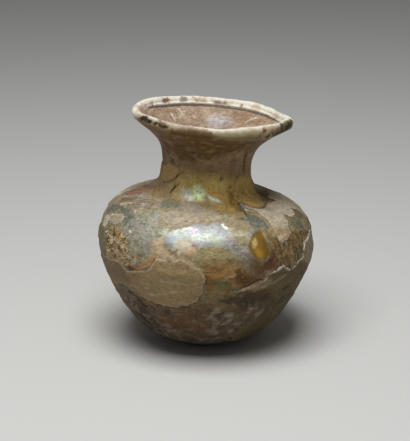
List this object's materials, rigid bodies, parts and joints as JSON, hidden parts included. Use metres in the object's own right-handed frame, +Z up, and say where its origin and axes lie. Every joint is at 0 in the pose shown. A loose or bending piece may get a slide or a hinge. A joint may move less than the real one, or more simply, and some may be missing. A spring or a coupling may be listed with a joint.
{
  "type": "glass vase",
  "caption": "Squat blown-glass jar with a globular body, short neck, flaring funnel mouth and folded lip, under a flaking tan weathering crust.",
  "frame": {"origin": "centre of the flat disc on the underside, where the vase stands", "axes": "+Z up the vase, -Y towards the viewer of the picture, +X to the viewer's right, which is the side the mouth leans to"},
  "size_m": [0.0743, 0.0744, 0.0824],
  "materials": {
    "weathered_glass": "opaque tan weathering crust, matt to satin, flaked in places to iridescent glass"
  },
  "bodies": {
    "root": {"glass_vase": "weathered_glass"}
  },
  "joints": []
}
